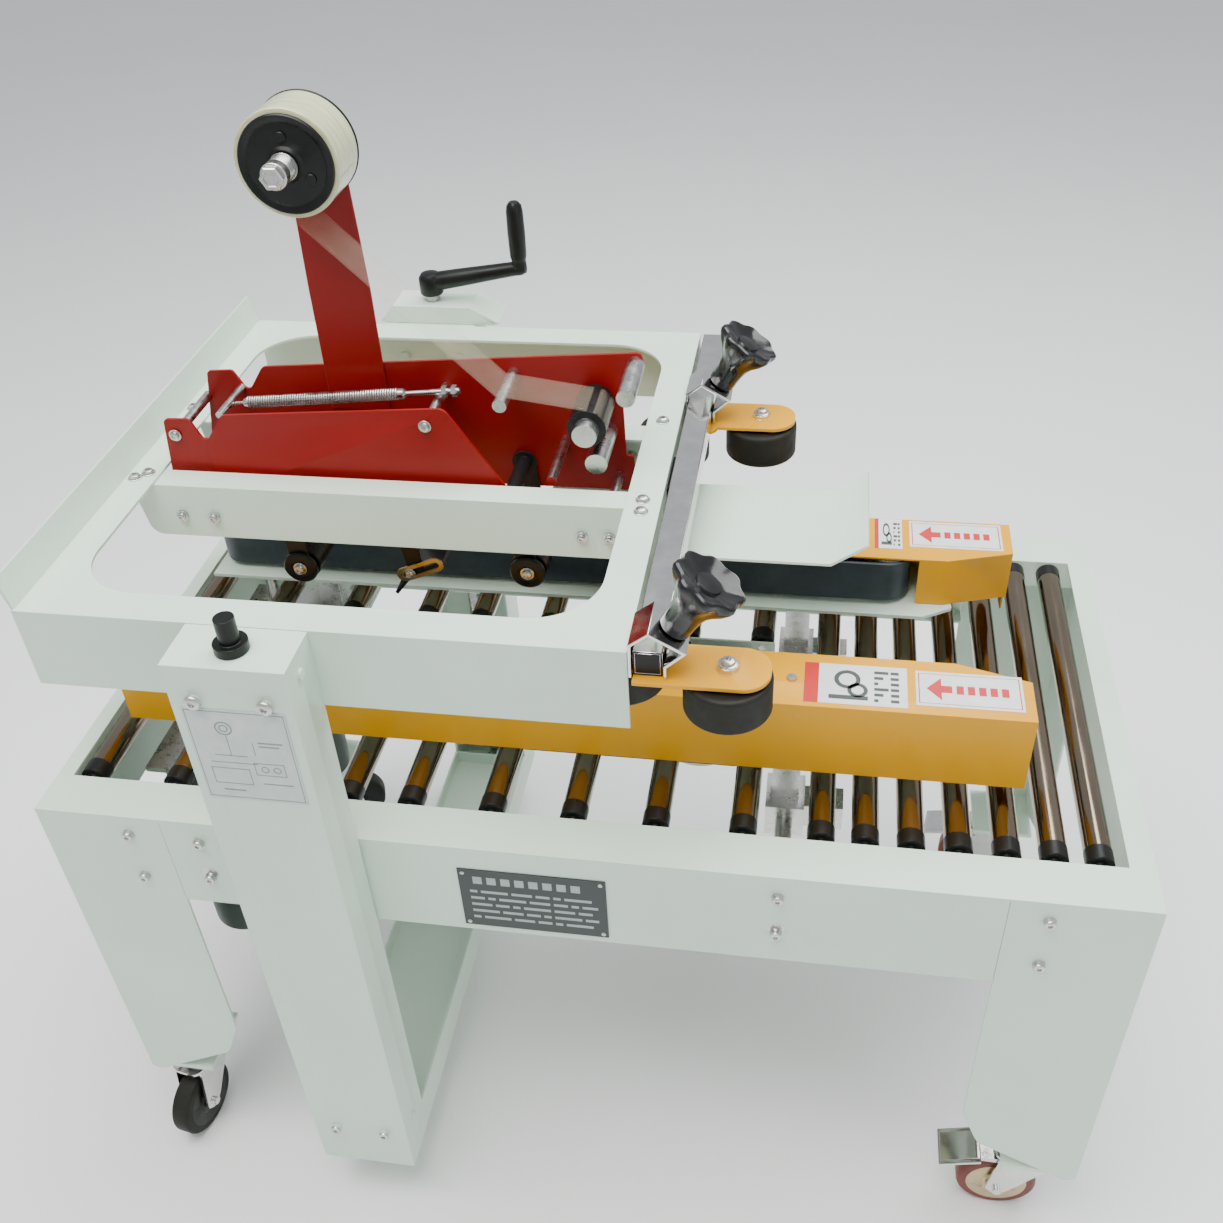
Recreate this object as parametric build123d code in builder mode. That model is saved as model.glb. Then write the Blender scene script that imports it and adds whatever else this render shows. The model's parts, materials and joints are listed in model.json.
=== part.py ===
from build123d import *
import math
import os

os.makedirs("parts", exist_ok=True)

# ---------------------------------------------------------------- driving sizes
# Frame: +X towards the infeed end, +Y towards the crank side, +Z up.
# Origin: on the floor, under the middle of the bed. Millimetres.
L = 1090.0          # bed length
W = 578.0           # bed width
H = 580.0           # bed top above the floor
T = 3.0             # sheet thickness
RAIL_H = 121.0      # depth of the side rails
LIP_Y = 50.0        # width of the top flange along the rails
LIP_X = 24.0        # width of the top flange at the ends
LEG_W = 133.0       # width of a leg panel
FOOT_Z = H - 452.0  # underside of the caster foot plates

ROLLER_R = 13.0
ROLLER_Z = H - 10.5
AXLE_R = 4.0
AXLE_BORE = 4.05
FULL_X = [-512.0, -420.0]
SPLIT_X = [-327.0, -234.0, -168.0, -84.0, -1.0, 81.0, 166.0]
INFEED_X = [241.0, 283.0, 326.0, 370.0, 414.0, 457.0, 498.0]
ROLL_END = 230.0    # half length of a full-width roller
ROLL_IN = 62.0      # inner end of a split roller
LIP_Yc = W / 2 - LIP_Y + T / 2   # middle of the lip that holds the axles

GUIDE_X = [204.0, -374.0]        # guide shafts of the side belts
GUIDE_Z = H - 74.0
GUIDE_R = 9.0
SCREW_X = 244.0                  # belt-width screw, beside the infeed guide shaft

BELT_IN = 86.0      # inner edge of a side-belt cover
BELT_OUT = 163.0    # outer edge
COVER_TOP = H + 102.0
COVER_BOT = H + 15.0
COVER_X0, COVER_X1 = -455.0, 432.0
BELT_X0, BELT_X1 = -476.0, 322.0

COL_X0, COL_X1 = -311.0, -201.0  # lift column, along the machine
COL_XC = (COL_X0 + COL_X1) / 2
COL_YI, COL_YO = 297.0, 347.0    # column from its open back to its front
COL_TOP = H + 261.0
COL_BOT = H - 505.0
LIFT_Y = 321.0
LIFT_R = 9.0

HX0, HX1 = -474.0, 72.0          # head frame
HY = 292.0
HEAD_TOP = H + 262.0
HEAD_BOT = H + 178.0
CHAN_Y = 82.0                    # outer face of the tape-head channels

TUBE = 25.0                      # press-wheel rail
TUBE_X0 = HX1 + 4.0
TUBE_Z0 = HEAD_TOP - TUBE
PRESS_Y = {"near": -276.0, "far": 145.0}
PW_R = 38.0
PW_XO, PW_XI = 153.0, 38.0

PLATE_Y = 38.0                   # inner faces of the tape-head side plates
ROLL_X, ROLL_Z = -255.0, H + 563.0
ROLL_R = 48.0

CX, CY = 503.0, 247.0            # caster swivel axes
CW_R = 45.0                      # caster wheel radius
TRAIL = 30.0                     # caster trail
CASTERS = {                      # side signs and the way each caster trails
    "near_left": (-1, -1, -100.0),
    "near_right": (1, -1, 180.0),
    "far_left": (-1, 1, 20.0),
    "far_right": (1, 1, 170.0),
}


def save(builder, name):
    builder.part.label = name
    export_step(builder.part, "parts/" + name + ".step")


def at(x, y, z):
    return Locations((x, y, z))


def along(x, y, z, axis):
    """A place whose local Z runs along X, Y or Z."""
    turn = {"X": (0, 90, 0), "Y": (-90, 0, 0), "Z": (0, 0, 0)}[axis]
    return Locations(Location((x, y, z), turn))


# ---------------------------------------------------------------- bed frame
RAIL_L = L - 2 * LEG_W - 1
with BuildPart() as bed_frame:
    for s in (-1, 1):
        with at(0, s * (W / 2 - T / 2), H - RAIL_H / 2):            # rail web
            Box(RAIL_L, T, RAIL_H)
        with at(0, s * (W / 2 - LIP_Y / 2), H - T / 2):             # top flange
            Box(L, LIP_Y, T)
        with at(0, s * (W / 2 - 12.5), H - RAIL_H + T / 2):         # bottom flange
            Box(RAIL_L, 25, T)
        with at(0, s * LIP_Yc, H - 18):                             # roller lip
            Box(L - 2 * T - 1, T, 36)
        lip = LIP_X if s > 0 else LIP_X - 7
        with at(s * (L / 2 - lip / 2), 0, H - T / 2):               # end flange
            Box(lip, W, T)
        with at(s * (L / 2 - T / 2), 0, H - RAIL_H / 2):            # end panel
            Box(T, W - 2 * LEG_W - 1, RAIL_H)
        with at(-84, s * 56.5, H - 31):                             # inner rail
            Box(530, T, 54)
    for x in (-340.0, 172.0):                                       # cross bars
        with at(x, 0, H - 55.5):
            Box(12, W - 2 * T, 6)
    for y in (-110, 110):                                           # table bolt holes
        with along(L / 2, y, H - 60, "X"):
            Cylinder(4.5, 12, mode=Mode.SUBTRACT)
    for x in FULL_X + SPLIT_X + INFEED_X:                           # axle holes
        with along(x, 0, ROLLER_Z, "Y"):
            Cylinder(AXLE_R, W - 60, mode=Mode.SUBTRACT)
    for x in GUIDE_X:                                               # guide-shaft holes
        for s in (-1, 1):
            with along(x, s * W / 2, GUIDE_Z, "Y"):
                Cylinder(GUIDE_R, 12, mode=Mode.SUBTRACT)
    with along(SCREW_X, W / 2, GUIDE_Z, "Y"):                  # width-screw hole
        Cylinder(8.05, 12, mode=Mode.SUBTRACT)
save(bed_frame, "bed_frame")

# ---------------------------------------------------------------- legs
# Each leg is one folded sheet: a panel on the long side, a panel on the end,
# both cut on a slope at the bottom, and a foot plate for the caster.
LEG_PTS = [(0, -T), (LEG_W, -T), (LEG_W, -352), (112, -405), (12, -460), (0, -456)]
LEG_RAD = [0, 0, 32, 26, 6, 3]
with BuildPart() as legs:
    for sx in (-1, 1):
        for sy in (-1, 1):
            with BuildSketch(Plane.XZ.offset(-sy * (W / 2 - T / 2))):
                with BuildLine():
                    FilletPolyline(*[(sx * (L / 2 - u), H + v) for u, v in LEG_PTS],
                                   radius=LEG_RAD, close=True)
                make_face()
            extrude(amount=T / 2, both=True)
            with BuildSketch(Plane.YZ.offset(sx * (L / 2 - T / 2))):
                with BuildLine():
                    FilletPolyline(*[(sy * (W / 2 - u), H + v) for u, v in LEG_PTS],
                                   radius=LEG_RAD, close=True)
                make_face()
            extrude(amount=T / 2, both=True)
            with at(sx * (L / 2 - 40), sy * (W / 2 - 40), FOOT_Z + 3):
                Box(79, 79, 6)
            with at(sx * CX, sy * CY, FOOT_Z + 3):
                Cylinder(6, 8, mode=Mode.SUBTRACT)
save(legs, "legs")


# ---------------------------------------------------------------- fixed hardware
# Roller axles, guide shafts, caster top plates with their bolts, the lift
# guide blocks behind each column, and the bolts of the frame.
def dome_head(x, y, z, axis, sign, r=6.0, h=3.5):
    """A low round bolt head standing on a face, outwards along sign*axis."""
    o = {"X": (sign * h / 2, 0, 0), "Y": (0, sign * h / 2, 0), "Z": (0, 0, sign * h / 2)}[axis]
    with along(x + o[0], y + o[1], z + o[2], axis):
        Cylinder(r, h)


NUT_Z0, NUT_Z1 = H - 112.0, H - 26.0
with BuildPart() as frame_hardware:
    for x in FULL_X + INFEED_X:
        with along(x, 0, ROLLER_Z, "Y"):
            Cylinder(AXLE_R, 2 * LIP_Yc + 5)
    for x in SPLIT_X:
        for s in (-1, 1):
            with along(x, s * (LIP_Yc + 2.5 + 54.0) / 2, ROLLER_Z, "Y"):
                Cylinder(AXLE_R, LIP_Yc + 2.5 - 54.0)
    for x in GUIDE_X:
        with along(x, 0, GUIDE_Z, "Y"):
            Cylinder(GUIDE_R, W)
    for sx in (-1, 1):
        for sy in (-1, 1):
            with at(sx * CX, sy * CY, FOOT_Z - 1.5):
                Box(68, 68, 3)
            with at(sx * CX, sy * CY, FOOT_Z - 3 + 7):           # swivel stud
                Cylinder(6, 14)
            for dx in (-25, 25):
                for dy in (-25, 25):
                    dome_head(sx * CX + dx, sy * CY + dy, FOOT_Z - 3, "Z", -1, 4.5, 3)
            for v in (-25, -88):                                 # leg bolts
                dome_head(sx * (L / 2 - 96), sy * W / 2, H + v, "Y", sy)
    for s in (-1, 1):
        for v in (-28, -80):                                     # rail end bolts
            for x in (-374.0, 204.0):
                dome_head(x, s * W / 2, H + v, "Y", s)
        # lift guide block: slides in the column, bored for the lift screw
        with at(COL_XC, s * (W / 2 + 27.3), (NUT_Z0 + NUT_Z1) / 2):
            Box(COL_X1 - COL_X0 - 2 * T - 0.8, 54.6, NUT_Z1 - NUT_Z0)
        with at(COL_XC, s * LIFT_Y, (NUT_Z0 + NUT_Z1) / 2):
            Cylinder(LIFT_R + 0.06, NUT_Z1 - NUT_Z0 + 2, mode=Mode.SUBTRACT)
save(frame_hardware, "frame_hardware")


# ---------------------------------------------------------------- bed rollers
def roller_half(y0, y1):
    """Section of a tube roller with end plugs, from y0 to y1."""
    r0, r1, r2 = AXLE_BORE, ROLLER_R - 1.5, ROLLER_R
    return [(y0, ROLLER_Z + r0), (y0, ROLLER_Z + r2), (y1, ROLLER_Z + r2), (y1, ROLLER_Z + r0),
            (y1 - 12, ROLLER_Z + r0), (y1 - 12, ROLLER_Z + r1),
            (y0 + 12, ROLLER_Z + r1), (y0 + 12, ROLLER_Z + r0)]


ROLLER_NAMES = []
for i, x in enumerate(FULL_X + SPLIT_X + INFEED_X):
    name = "roller_%02d" % (i + 1)
    ROLLER_NAMES.append(name)
    spans = [(-ROLL_END, ROLL_END)] if x in FULL_X + INFEED_X else \
        [(-ROLL_END, -ROLL_IN), (ROLL_IN, ROLL_END)]
    with BuildPart() as roller:
        for y0, y1 in spans:
            with BuildSketch(Plane.YZ.offset(x)):
                Polygon(*roller_half(y0, y1), align=None)
            revolve(axis=Axis((x, 0, ROLLER_Z), (0, 1, 0)))
    save(roller, name)

# ---------------------------------------------------------------- casters
for key, (sx, sy, ang) in CASTERS.items():
    a = math.radians(ang)
    cx, cy = sx * CX, sy * CY
    frame = Plane(origin=(cx, cy, 0), x_dir=(math.cos(a), math.sin(a), 0), z_dir=(0, 0, 1))
    top = FOOT_Z - 3.3 - 3.0
    # fork: race, crown, two cheeks and the wheel's axle
    with BuildPart() as fork:
        with BuildSketch(frame.offset(top - 11)):
            Circle(27)
        extrude(amount=11)
        with BuildSketch(frame.offset(top - 15)):
            with Locations((9, 0)):
                RectangleRounded(62, 42, 12)
        extrude(amount=4)
        for s in (-1, 1):
            side = Plane(origin=frame.from_local_coords(Vector(0, s * 19.5, 0)),
                         x_dir=frame.x_dir, z_dir=frame.y_dir)
            with BuildSketch(side):
                with BuildLine():
                    FilletPolyline((-16, -(top - 13)), (34, -(top - 13)), (TRAIL + 13, -CW_R),
                                   (TRAIL, -CW_R + 13), (TRAIL - 13, -CW_R), (-16, -(top - 30)),
                                   radius=[3, 6, 5, 10, 5, 8], close=True)
                make_face()
            extrude(amount=1.5, both=True)
        with BuildSketch(frame.offset(top - 20)):
            Circle(6.3)
        extrude(amount=30, mode=Mode.SUBTRACT)
        axle = Plane(origin=frame.from_local_coords(Vector(TRAIL, 0, CW_R)),
                     x_dir=frame.x_dir, z_dir=frame.y_dir)
        with BuildSketch(axle):
            Circle(5)
        extrude(amount=25, both=True)
        if sx > 0:                                                # brake pedal pin
            pin = Plane(origin=frame.from_local_coords(Vector(28, 0, 98.5)),
                        x_dir=frame.x_dir, z_dir=frame.y_dir)
            with BuildSketch(pin):
                Circle(2.5)
            extrude(amount=23, both=True)
    save(fork, "caster_fork_" + key)
    # wheel: rounded tread, bored for the axle
    with BuildPart() as wheel:
        plane = Plane(origin=frame.from_local_coords(Vector(TRAIL, 0, CW_R)),
                      x_dir=(0, 0, 1), z_dir=frame.x_dir)
        with BuildSketch(plane):
            with BuildLine():
                FilletPolyline((5.05, -16), (16, -16), (18, -13), (34, -13), (CW_R, -12),
                               (CW_R, 12), (34, 13), (18, 13), (16, 16), (5.05, 16),
                               radius=[0, 0, 0, 0, 5, 5, 0, 0, 0, 0], close=True)
            make_face()
        revolve(axis=Axis(plane.origin, plane.y_dir))
    save(wheel, "caster_wheel_" + key)
    if sx > 0:
        # brake pedal on its own pin between the cheeks
        with BuildPart() as pedal:
            hinge = Plane(origin=frame.from_local_coords(Vector(28, 0, 98.5)),
                          x_dir=frame.x_dir, z_dir=frame.y_dir)
            with BuildSketch(hinge):
                Circle(5)
                with BuildLine():
                    FilletPolyline((0, -4.5), (30, -2), (70, 12), (69, 15), (30, 3), (0, 3.5),
                                   radius=[0, 14, 1, 1, 14, 0], close=True)
                make_face()
                Circle(2.55, mode=Mode.SUBTRACT)
            extrude(amount=17, both=True)
            with BuildSketch(hinge):
                with BuildLine():
                    FilletPolyline((26, -2.5), (72, 13), (71, 16), (26, 1.5),
                                   radius=[0, 1, 1, 0], close=True)
                make_face()
            extrude(amount=22, both=True)
        save(pedal, "brake_pedal_" + key)


def strip(points, t):
    """Outline of a bent strip of thickness t along a line of points."""
    left, right = [], []
    n = len(points)
    for i, (x, y) in enumerate(points):
        d = []
        if i > 0:
            d.append((x - points[i - 1][0], y - points[i - 1][1]))
        if i < n - 1:
            d.append((points[i + 1][0] - x, points[i + 1][1] - y))
        d = [(a / math.hypot(a, b), b / math.hypot(a, b)) for a, b in d]
        mx, my = sum(-b for a, b in d), sum(a for a, b in d)
        m = math.hypot(mx, my)
        mx, my = mx / m, my / m
        k = t / 2 / (mx * -d[0][1] + my * d[0][0])
        left.append((x + mx * k, y + my * k))
        right.append((x - mx * k, y - my * k))
    return left + right[::-1]


# ---------------------------------------------------------------- side belts
BELT_Z0, BELT_Z1 = H + 48.0, H + 97.0
PULLEY_R, PULLEY_Y = 24.0, 108.0
DRIVE_X, IDLER_X = -458.0, 297.0
MOTOR_X, MOTOR_R = -452.0, 44.0
for side, s in (("near", -1), ("far", 1)):
    # deck with its two posts, slider blocks, motor and pulleys
    with BuildPart() as deck:
        with BuildSketch(Plane.XY.offset(H + 38)):
            Polygon(*[(x, s * y) for x, y in
                      [(-490, 63), (340, 63), (372, 82), (372, 160.5), (-490, 160.5)]],
                    align=None)
        extrude(amount=4)
        for x in GUIDE_X:
            with at(x, s * 125, (H + 38 + H - 60) / 2):              # post
                Box(28, 20, 98)
            with at(x, s * 125, H - 74):                             # slider block
                Box(40, 50, 40)
        with at((GUIDE_X[0] + SCREW_X) / 2 + 10, s * 125, H - 74):
            Box(60, 30, 30)
        with at((GUIDE_X[1] + MOTOR_X - 44) / 2 + 10, s * 125, H - 57):   # motor plate
            Box(142, 90, 6)
        with at(MOTOR_X, s * 125, H - 195):                          # motor
            Cylinder(MOTOR_R, 270)
        with at(MOTOR_X, s * 125, H - 334):
            Cylinder(MOTOR_R - 8, 10)
        with at(MOTOR_X, s * 125, H - 10):                           # drive shaft
            Cylinder(8, 100)
        for x, y in ((DRIVE_X, PULLEY_Y), (IDLER_X, PULLEY_Y)):      # belt pulleys
            with at(x, s * y, (BELT_Z0 + BELT_Z1) / 2):
                Cylinder(PULLEY_R, 53)
            with at(x, s * y, H + 45):
                Cylinder(9, 8)
        for x in (-380, -300, -220, -140, -60, 20, 100, 180):        # belt backing bar
            with at(x, s * 91, H + 57):
                Box(10, 10, 32)
        with at(-90, s * 87, H + 72):
            Box(640, 6, 40)
        for x in GUIDE_X:
            with along(x, s * 125, GUIDE_Z, "Y"):
                Cylinder(GUIDE_R + 0.05, 60, mode=Mode.SUBTRACT)
        with along(SCREW_X, s * 125, GUIDE_Z, "Y"):
            Cylinder(8.06, 60, mode=Mode.SUBTRACT)
    save(deck, "belt_deck_" + side)

    # sheet cover over the belt
    outline = [(-495, 86), (362, 86), (432, 107), (432, 163), (-495, 163)]
    with BuildPart() as cover:
        with BuildSketch(Plane.XY.offset(COVER_TOP - 2)):
            Polygon(*[(x, s * y) for x, y in outline], align=None)
        extrude(amount=2)
        with at(-31.5, s * 162, (COVER_TOP + COVER_BOT) / 2):         # outer wall
            Box(927, 2, COVER_TOP - COVER_BOT)
        for x in (-494, 431):                                         # end walls
            y0 = 140 if x < 0 else 107
            with at(x, s * (max(y0, 122) + 163) / 2, (COVER_TOP + COVER_BOT) / 2):
                Box(2, 163 - max(y0, 122), COVER_TOP - COVER_BOT)
            with at(x, s * (y0 + 163) / 2, (COVER_TOP + H + 43) / 2):
                Box(2, 163 - y0, COVER_TOP - H - 43)
        with BuildSketch(Plane.XY.offset(H + 43)):                    # lead-in face
            Polygon(*[(x, s * y) for x, y in strip([(332, 87), (362, 87), (431, 107.8)], 2)],
                    align=None)
        extrude(amount=COVER_TOP - H - 43)
        for x in (-300, -80, 204):                                    # cover screws
            with at(x, s * 125, COVER_TOP + 1):
                Cylinder(5, 3)
    save(cover, "belt_cover_" + side)

    # the belt itself: a closed loop standing on edge
    with BuildPart() as belt:
        with BuildSketch(Plane.XY.offset(BELT_Z0)):
            with Locations(((DRIVE_X + IDLER_X) / 2, s * PULLEY_Y)):
                SlotCenterToCenter(IDLER_X - DRIVE_X, 2 * PULLEY_R + 8)
                SlotCenterToCenter(IDLER_X - DRIVE_X, 2 * PULLEY_R, mode=Mode.SUBTRACT)
        extrude(amount=BELT_Z1 - BELT_Z0)
    save(belt, "side_belt_" + side)

# screw that moves the two belts together, with its handwheel
with BuildPart() as width_screw:
    with along(SCREW_X, 22, GUIDE_Z, "Y"):
        Cylinder(8, 600)
    with along(SCREW_X, W / 2 + 15, GUIDE_Z, "Y"):
        Cylinder(16, 24)
    with BuildSketch(Plane.XZ.offset(-(W / 2 + 36))):
        with Locations((SCREW_X, GUIDE_Z)):
            Circle(52)
            Circle(42, mode=Mode.SUBTRACT)
            Rectangle(90, 12)
            Rectangle(12, 90)
            Circle(16)
    extrude(amount=5, both=True)
    with along(SCREW_X + 44, W / 2 + 47, GUIDE_Z, "Y"):
        Cylinder(7, 20)
save(width_screw, "width_screw")

# ---------------------------------------------------------------- lift frame
# Two channel columns outside the rails, a cross beam under the bed, caps on top.
with BuildPart() as lift_columns:
    for s in (-1, 1):
        zc, zh = (COL_TOP + COL_BOT) / 2, COL_TOP - COL_BOT
        with at(COL_XC, s * (COL_YO - T / 2), zc):
            Box(COL_X1 - COL_X0, T, zh)
        for x in (COL_X0 + T / 2, COL_X1 - T / 2):
            with at(x, s * (292 + COL_YO) / 2, zc):
                Box(T, COL_YO - 292, zh)
        with at(COL_XC, s * (292 + COL_YO) / 2, COL_TOP - T / 2):      # cap
            Box(COL_X1 - COL_X0, COL_YO - 292, T)
        with at(COL_XC, s * (292 + COL_YO) / 2, COL_BOT + T / 2):      # foot
            Box(COL_X1 - COL_X0, COL_YO - 292, T)
        for dx in (-32, 32):                                           # cover bolts
            dome_head(COL_XC + dx, s * COL_YO, H + 225, "Y", s, 5, 3)
        for dx in (-29, 28):                                           # beam bolts
            dome_head(COL_XC + dx, s * COL_YO, H - 437, "Y", s, 5, 3)
        for z in (240, -437):                        # side screws
            dome_head(COL_X1, s * 322, H + z, "X", 1, 5, 3)
    with BuildSketch(Plane.XZ.offset(-321)):                           # crank bearing bracket
        Polygon(*strip([(-316, COL_TOP + 2), (-300, COL_TOP + 20), (-206, COL_TOP + 20), (-172, COL_TOP + 2)], 3),
                align=None)
    extrude(amount=23, both=True)
    with BuildSketch(Plane.XZ.offset(-299.5)):
        Polygon((-314, COL_TOP + 0.5), (-299, COL_TOP + 20), (-207, COL_TOP + 20), (-176, COL_TOP + 0.5),
                align=None)
    extrude(amount=T / 2, both=True)
    for s in (-1, 1):
        with at(COL_XC, s * LIFT_Y, COL_TOP + 5):                      # screw bearings
            Cylinder(LIFT_R + 0.06, 50, mode=Mode.SUBTRACT)

with BuildPart() as lift_beam:
    with at(COL_XC, 0, COL_BOT + T / 2):
        Box(COL_X1 - COL_X0, 583.4, T)
    for x in (COL_X0 + T / 2, COL_X1 - T / 2):
        with at(x, 0, COL_BOT + 25):
            Box(T, 583.4, 50)
    for s in (-1, 1):
        with at(COL_XC, s * 290.2, COL_BOT + 25):
            Box(COL_X1 - COL_X0, T, 50)
    with at(COL_XC, 0, COL_BOT + 29):                                  # chain cover
        Box(COL_X1 - COL_X0, 583.4, 2)
with BuildPart() as lift_frame:
    add(lift_columns.part)
    add(lift_beam.part)
save(lift_frame, "lift_frame")

for side, s in (("near", -1), ("far", 1)):
    with BuildPart() as screw:
        z0, z1 = COL_BOT + T + 1, COL_TOP + (34 if s < 0 else 30)
        with at(COL_XC, s * LIFT_Y, (z0 + z1) / 2):
            Cylinder(LIFT_R, z1 - z0)
        with at(COL_XC, s * LIFT_Y, COL_BOT + T + 8):                  # sprocket
            Cylinder(19, 6)
        with at(COL_XC, s * LIFT_Y, COL_TOP + 5):                      # collar
            Cylinder(15, 9)
    save(screw, "lift_screw_" + side)

with BuildPart() as lift_crank:
    hz = COL_TOP + 41
    with at(COL_XC, LIFT_Y, hz):                                       # hub
        Cylinder(15, 20)
    with BuildSketch(Plane.XZ.offset(-LIFT_Y)):
        Polygon(*strip([(COL_XC, hz + 4), (COL_XC + 30, hz + 6), (-160, hz + 22), (-134, hz + 22)], 14),
                align=None)
    extrude(amount=9, both=True)
    with at(-145, LIFT_Y, hz + 65):                                    # grip
        Cylinder(10, 76)
    with at(COL_XC, LIFT_Y, hz - 6):
        Cylinder(LIFT_R + 0.01, 30, mode=Mode.SUBTRACT)
    with at(COL_XC, LIFT_Y, hz + 8):
        Cylinder(12, 6)
save(lift_crank, "lift_crank")

# ---------------------------------------------------------------- head frame
with BuildPart() as head_frame:
    with BuildSketch(Plane.XY.offset(HEAD_TOP - T)):
        with Locations(((HX0 + HX1) / 2, 0)):
            Rectangle(HX1 - HX0, 2 * HY)
        with Locations(((-440 + 38) / 2, 0)):
            RectangleRounded(478, 512, 62, mode=Mode.SUBTRACT)
    extrude(amount=T)
    for s in (-1, 1):
        with at((HX0 + HX1) / 2, s * (HY - T / 2), (HEAD_TOP + HEAD_BOT) / 2):
            Box(HX1 - HX0, T, HEAD_TOP - HEAD_BOT)
        for x in (COL_X0 + 20, COL_X1 - 20):
            with along(x, s * (HY - T - 2), HEAD_TOP - 40, "Y"):
                Cylinder(6, 4)
    with BuildSketch(Plane.XZ):                                        # outfeed lip
        Polygon(*strip([(HX0 + 3, HEAD_TOP - 1.5), (HX0 + 1, HEAD_TOP - 1.5), (HX0 - 6, HEAD_TOP + 32)], T),
                align=None)
    extrude(amount=HY - 2, both=True)
    with at(HX1 - T / 2, 0, HEAD_TOP - 11):                            # infeed flange
        Box(T, 2 * HY, 22)
save(head_frame, "head_frame")

# channels that carry the tape head, and the entry ski under them
with BuildPart() as head_channels:
    for s in (-1, 1):
        with BuildSketch(Plane.XZ.offset(-s * 76.5)):                  # web
            with BuildLine():
                FilletPolyline((-466, H + 259), (60, H + 259), (60, H + 199), (-456, H + 199),
                               radius=[0, 0, 0, 14], close=True)
            make_face()
            with Locations(*[(x, H + 225) for x in (-417, -383, -5, 22)]):
                Circle(5.05, mode=Mode.SUBTRACT)
        extrude(amount=T / 2, both=True)
        with at(-203, s * 63.5, H + 257.5):                            # top flange
            Box(526, 29, T)
        with at(0, s * 63.5, H + 200.5):                               # ski foot
            Box(120, 29, T)

# the entry ski is bolted under the channels
with BuildPart() as ski:
    with BuildSketch(Plane.XZ):
        Polygon(*strip([(-60, H + 197.5), (234, H + 197.5), (268, H + 222)], 3),
                align=None)
    extrude(amount=66, both=True)
with BuildPart() as head_guides:
    add(head_channels.part)
    add(ski.part)
save(head_guides, "head_guides")

# ---------------------------------------------------------------- press wheels
with BuildPart() as press_rail:
    with along(TUBE_X0 + TUBE / 2, 0, TUBE_Z0 + TUBE / 2, "Y"):
        Box(TUBE, TUBE, 2 * 290)
        Box(TUBE - 4, TUBE - 4, 2 * 290, mode=Mode.SUBTRACT)
    for s in (-1, 1):
        with along(TUBE_X0 + TUBE / 2, s * 287, TUBE_Z0 + TUBE / 2, "Y"):
            Box(TUBE - 4.02, TUBE - 4.02, 6)
    with at(74, 0, TUBE_Z0 + 9):                                       # fixing plate
        Box(4, 60, 14)
save(press_rail, "press_rail")

PLATE_Z = H + 232.6
KA = math.radians(59.0)
for side, (y_out, y_in, jog) in {"near": (-272.0, -246.0, 1), "far": (148.0, 130.0, 1)}.items():
    yc = y_out
    with BuildPart() as bracket:
        with BuildSketch(Plane.XY.offset(PLATE_Z)):
            with Locations((133, yc)):
                RectangleRounded(112, 54, 24)
            with Locations((94, yc)):
                Rectangle(36, 54)
            with Locations((72, y_in)):
                RectangleRounded(72, 40, 12)
            for x, y in ((PW_XO, y_out), (60, y_in)):
                with Locations((x, y)):
                    Circle(5.1, mode=Mode.SUBTRACT)
        extrude(amount=4)
        for x, y in ((PW_XO, y_out), (60, y_in)):                      # wheel bolts
            with at(x, y, H + 211):
                Cylinder(5, 50)
            with at(x, y, H + 238.6):
                Cylinder(9, 4)
            with at(x, y, H + 188):
                Cylinder(8, 4)
    px, pz = 107.2, H + 272.3
    dx, dz = math.sin(KA), -math.cos(KA)
    with BuildPart() as clamp:
        with BuildSketch(Plane.XZ.offset(-yc)):
            Polygon(*strip([(74.1, H + 236.8), (74.1, H + 270), (px - 20 * dx, pz - 20 * dz),
                            (px + 14 * dx, pz + 14 * dz), (103.2, H + 250), (103.2, H + 236.8)], 2.6),
                    align=None)
        extrude(amount=22, both=True)
        with Locations(Location((px, yc, pz), (0, math.degrees(math.pi / 2 - KA), 0))):
            Cylinder(5.05, 30, mode=Mode.SUBTRACT)
    with BuildPart() as slider:
        add(bracket.part)
        add(clamp.part)
    save(slider, "press_bracket_" + side)
    with BuildPart() as knob:
        ax = Vector(math.cos(KA), 0, math.sin(KA))
        base = Plane(origin=Vector(px, yc, pz) - ax * 9, x_dir=(0, 1, 0), z_dir=ax)
        with BuildSketch(base):
            Circle(5)
        extrude(amount=52)
        with BuildSketch(base.offset(14)):
            Circle(11)
        extrude(amount=30)
        with BuildSketch(base.offset(44)):
            Circle(26)
            with PolarLocations(26, 7):
                Circle(8)
        extrude(amount=26)
    save(knob, "press_knob_" + side)
    for tag, x, y in (("outer", PW_XO, y_out), ("inner", 60, y_in)):
        with BuildPart() as wheel:
            with BuildSketch(Plane.XZ.offset(-y)):
                with BuildLine():
                    FilletPolyline((x + 5.05, H + 191), (x + 14, H + 191), (x + 16, H + 194),
                                   (x + 27, H + 194), (x + PW_R, H + 193), (x + PW_R, H + 230),
                                   (x + 27, H + 229), (x + 16, H + 229), (x + 14, H + 231.6),
                                   (x + 5.05, H + 231.6),
                                   radius=[0, 0, 0, 0, 4, 4, 0, 0, 0, 0], close=True)
                make_face()
            revolve(axis=Axis((x, y, 0), (0, 0, 1)))
        save(wheel, "press_wheel_%s_%s" % (side, tag))

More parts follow.
